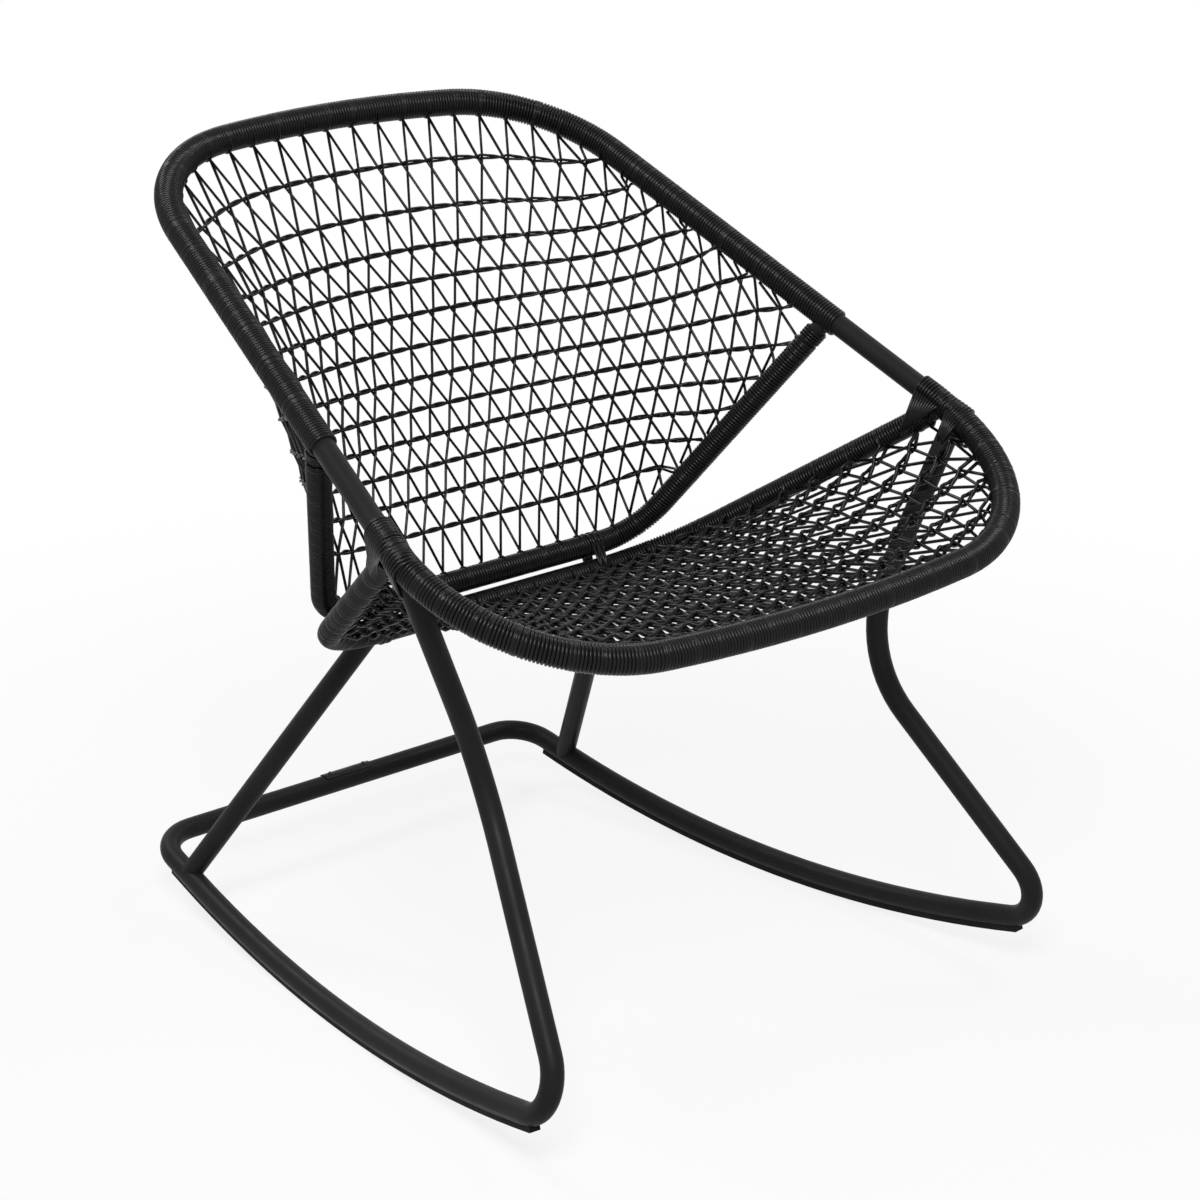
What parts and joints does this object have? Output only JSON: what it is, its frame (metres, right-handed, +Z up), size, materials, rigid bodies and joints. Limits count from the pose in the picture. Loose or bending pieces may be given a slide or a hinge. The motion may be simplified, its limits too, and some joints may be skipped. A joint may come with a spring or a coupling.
{
  "type": "outdoor rocking chair",
  "caption": "Low outdoor rocking chair: bent tube frame on curved rockers with a bucket seat of wound and woven resin strand.",
  "frame": {"origin": "on the floor, at the middle of the bounding box's bottom", "axes": "+X to the chair's right seen from the front, -Y the front, +Z up"},
  "size_m": [0.716, 0.7771, 0.8215],
  "materials": {
    "frame_paint": "satin",
    "plate_metal": "satin",
    "rivet_metal": "satin",
    "glide_plastic": "matte",
    "strand": "satin"
  },
  "bodies": {
    "root": {"rim_back_tube": "frame_paint", "rim_front_tube": "frame_paint", "base_tube_right": "frame_paint", "base_tube_left": "frame_paint", "crossbar_plate": "plate_metal", "plate_rivet_right": "rivet_metal", "plate_rivet_left": "rivet_metal", "back_frame_tube": "frame_paint", "seat_frame_tube": "frame_paint", "rear_leg_right": "frame_paint", "rear_leg_left": "frame_paint", "glide_right_strip": "glide_plastic", "glide_left_strip": "glide_plastic", "back_lashing_right": "strand", "back_lashing_left": "strand", "seat_lashing_right": "strand", "seat_lashing_left": "strand", "rim_back_winding": "strand", "rim_front_winding": "strand", "back_frame_winding": "strand", "seat_frame_winding": "strand", "bar_tie_right": "strand", "bar_tie_left": "strand", "back_net_middle": "strand", "back_net_right": "strand", "back_net_left": "strand", "seat_net_middle": "strand", "seat_net_right": "strand", "seat_net_left": "strand", "back_wefts": "strand", "seat_wefts": "strand"}
  },
  "joints": []
}
